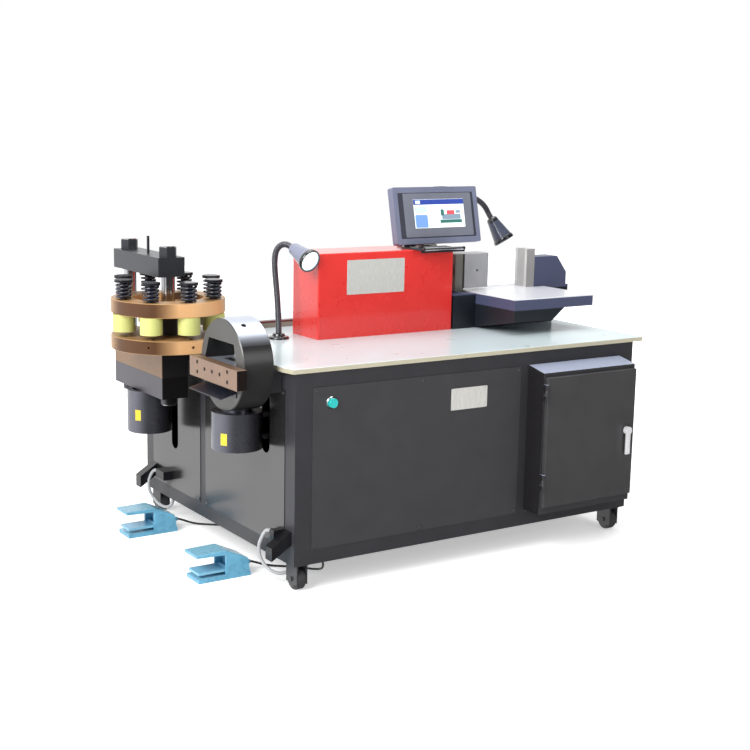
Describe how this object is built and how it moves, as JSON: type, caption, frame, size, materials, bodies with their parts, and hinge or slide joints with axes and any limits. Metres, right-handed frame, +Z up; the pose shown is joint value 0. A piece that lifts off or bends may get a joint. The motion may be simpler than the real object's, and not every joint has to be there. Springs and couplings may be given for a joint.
{
  "type": "busbar machine",
  "caption": "Floor-standing hydraulic busbar machine: turret punch, shear and horizontal bending unit on a wheeled steel cabinet.",
  "frame": {"origin": "centre of the machine's footprint on the floor", "axes": "+X along the cabinet from the punch end to the bending end, +Y from the front to the back, +Z up"},
  "size_m": [1.9606, 1.3208, 1.3222],
  "materials": {
    "frame_black": "matte grey-black powder coat",
    "panel_black": "fine-grained grey-black powder coat",
    "panel_gloss": "satin grey-black coat",
    "screw_steel": "zinc-plated",
    "worktop_cream": "cream powder coat",
    "fork_black": "black paint",
    "rail_cream": "cream paint with a red edge",
    "cover_red": "satin red powder coat",
    "cylinder_grey": "grey paint",
    "machined_steel": "machined",
    "ground_steel": "ground",
    "navy_paint": "navy paint",
    "table_white": "white paint",
    "gooseneck_black": "black ribbed gooseneck",
    "lamp_grey": "satin grey-violet",
    "lamp_glass": "frosted",
    "tray_steel": "polished sheet",
    "screen_plastic": "grey-violet moulded plastic",
    "screen_display": "lit display",
    "equipment_grey": "grey moulded modules on a plate",
    "door_black": "grey-black powder coat",
    "handle_black": "black",
    "button_teal": "teal",
    "primed_tan": "tan coat",
    "black_steel": "blackened",
    "yoke_steel": "milled",
    "rod_steel": "ground bar",
    "crosshead_grey": "grey coat",
    "sleeve_urethane": "yellow-green urethane",
    "spring_black": "black",
    "shear_grey": "grey-violet coat",
    "guide_steel": "milled",
    "chute_steel": "folded sheet",
    "connector_black": "black",
    "conduit_grey": "grey flexible conduit",
    "cable_black": "black cable",
    "pedal_blue": "light blue hammered coat",
    "treadle_black": "ribbed black rubber",
    "pack_paint": "grey-blue paint",
    "wheel_tyre": "black tyre, pale hub"
  },
  "bodies": {
    "root": {"base_frame": "frame_black", "front_panels": "panel_black", "end_panels": "panel_gloss", "rear_panel": "panel_black", "panel_screws": "screw_steel", "worktop": "worktop_cream", "caster_forks": "fork_black", "fence_rail": "rail_cream", "red_cover": "cover_red", "bend_cylinder": "cylinder_grey", "bend_die": "ground_steel", "bend_bed": "navy_paint", "bend_table": "navy_paint", "bend_table_top": "table_white", "lamp_stands": "gooseneck_black", "lamp_heads": "lamp_grey", "lamp_lenses": "lamp_glass", "screen_post": "tray_steel", "electric_box": "panel_black", "electric_equipment": "equipment_grey", "die_block": "primed_tan", "turret_spindle": "black_steel", "punch_piston": "machined_steel", "unit_brackets": "frame_black", "shear_head": "shear_grey", "shear_guide_block": "guide_steel", "shear_chute": "chute_steel", "shear_upper_blade": "ground_steel", "shear_cylinder": "cylinder_grey", "connector_housings": "connector_black", "conduit_front": "conduit_grey", "conduit_rear": "conduit_grey", "pedal_cable_front": "cable_black", "pedal_cable_rear": "cable_black", "pedal_bodies": "pedal_blue", "hydraulic_pack": "pack_paint"},
    "turret": {"turret_discs": "primed_tan", "stripper_sleeves": "sleeve_urethane", "punch_springs": "spring_black", "punches": "black_steel", "active_spring": "spring_black"},
    "working_punch": {"active_punch": "black_steel"},
    "press": {"crosshead": "crosshead_grey", "tie_rods": "rod_steel", "punch_yoke": "yoke_steel", "punch_cylinder": "cylinder_grey"},
    "ram": {"bend_ram": "machined_steel", "bend_punch": "ground_steel"},
    "lower_blade": {"shear_lower_blade": "ground_steel"},
    "front_left_wheel": {"wheel_front_left": "wheel_tyre"},
    "front_right_wheel": {"wheel_front_right": "wheel_tyre"},
    "rear_left_wheel": {"wheel_rear_left": "wheel_tyre"},
    "rear_right_wheel": {"wheel_rear_right": "wheel_tyre"},
    "door": {"box_door": "door_black"},
    "handle": {"door_handle": "handle_black"},
    "button": {"start_button": "button_teal"},
    "screen": {"screen_case": "screen_plastic", "screen_glass": "screen_display"},
    "front_treadle": {"pedal_tread_front": "treadle_black"},
    "rear_treadle": {"pedal_tread_rear": "treadle_black"}
  },
  "joints": [
    {"name": "front_left_roll", "type": "hinge", "parent": "root", "child": "front_left_wheel", "pos_m": [-0.61275, -0.4841, 0.038], "axis": [1, 0, 0], "continuous": true},
    {"name": "front_right_roll", "type": "hinge", "parent": "root", "child": "front_right_wheel", "pos_m": [0.80725, -0.4841, 0.038], "axis": [1, 0, 0], "continuous": true},
    {"name": "rear_left_roll", "type": "hinge", "parent": "root", "child": "rear_left_wheel", "pos_m": [-0.61275, 0.6109, 0.038], "axis": [1, 0, 0], "continuous": true},
    {"name": "rear_right_roll", "type": "hinge", "parent": "root", "child": "rear_right_wheel", "pos_m": [0.80725, 0.6109, 0.038], "axis": [1, 0, 0], "continuous": true},
    {"name": "door_swing", "type": "hinge", "parent": "root", "child": "door", "pos_m": [0.33025, -0.6421, 0.43], "axis": [0, 0, -1], "range_deg": [0, 110]},
    {"name": "handle_turn", "type": "hinge", "parent": "door", "child": "handle", "pos_m": [0.73025, -0.6491, 0.439], "axis": [0, 1, 0], "range_deg": [0, 90]},
    {"name": "button_press", "type": "slide", "parent": "root", "child": "button", "axis": [0, 1, 0], "range_m": [0, 0.004], "stiffness_N_per_m": 600},
    {"name": "turret_turn", "type": "hinge", "parent": "root", "child": "turret", "pos_m": [-0.76775, 0.1929, 0.84], "axis": [0, 0, 1], "range_deg": [0, 360]},
    {"name": "press_stroke", "type": "slide", "parent": "root", "child": "press", "axis": [0, 0, -1], "range_m": [0, 0.025]},
    {"name": "punch_stroke", "type": "slide", "parent": "turret", "child": "working_punch", "axis": [0, 0, -1], "range_m": [0, 0.025], "deforming": ["active_spring"]},
    {"name": "bend_stroke", "type": "slide", "parent": "root", "child": "ram", "axis": [1, 0, 0], "range_m": [0, 0.172]},
    {"name": "blade_stroke", "type": "slide", "parent": "root", "child": "lower_blade", "axis": [0, 0, 1], "range_m": [0, 0.045]},
    {"name": "screen_tilt", "type": "hinge", "parent": "root", "child": "screen", "pos_m": [0.30258, 0.09269, 1.16252], "axis": [0.9976, 0.0698, 0], "range_deg": [-15, 3]},
    {"name": "front_treadle_press", "type": "hinge", "parent": "root", "child": "front_treadle", "pos_m": [-0.76275, -0.2341, 0.031], "axis": [0, -1, 0], "range_deg": [0, 5], "stiffness_Nm_per_rad": 6, "springref_deg": -2.86},
    {"name": "rear_treadle_press", "type": "hinge", "parent": "root", "child": "rear_treadle", "pos_m": [-0.76275, 0.3619, 0.031], "axis": [0, -1, 0], "range_deg": [0, 5], "stiffness_Nm_per_rad": 6, "springref_deg": -2.86}
  ],
  "couplings": [
    {"joint": "punch_stroke", "follows": "press_stroke", "ratio": 1}
  ]
}
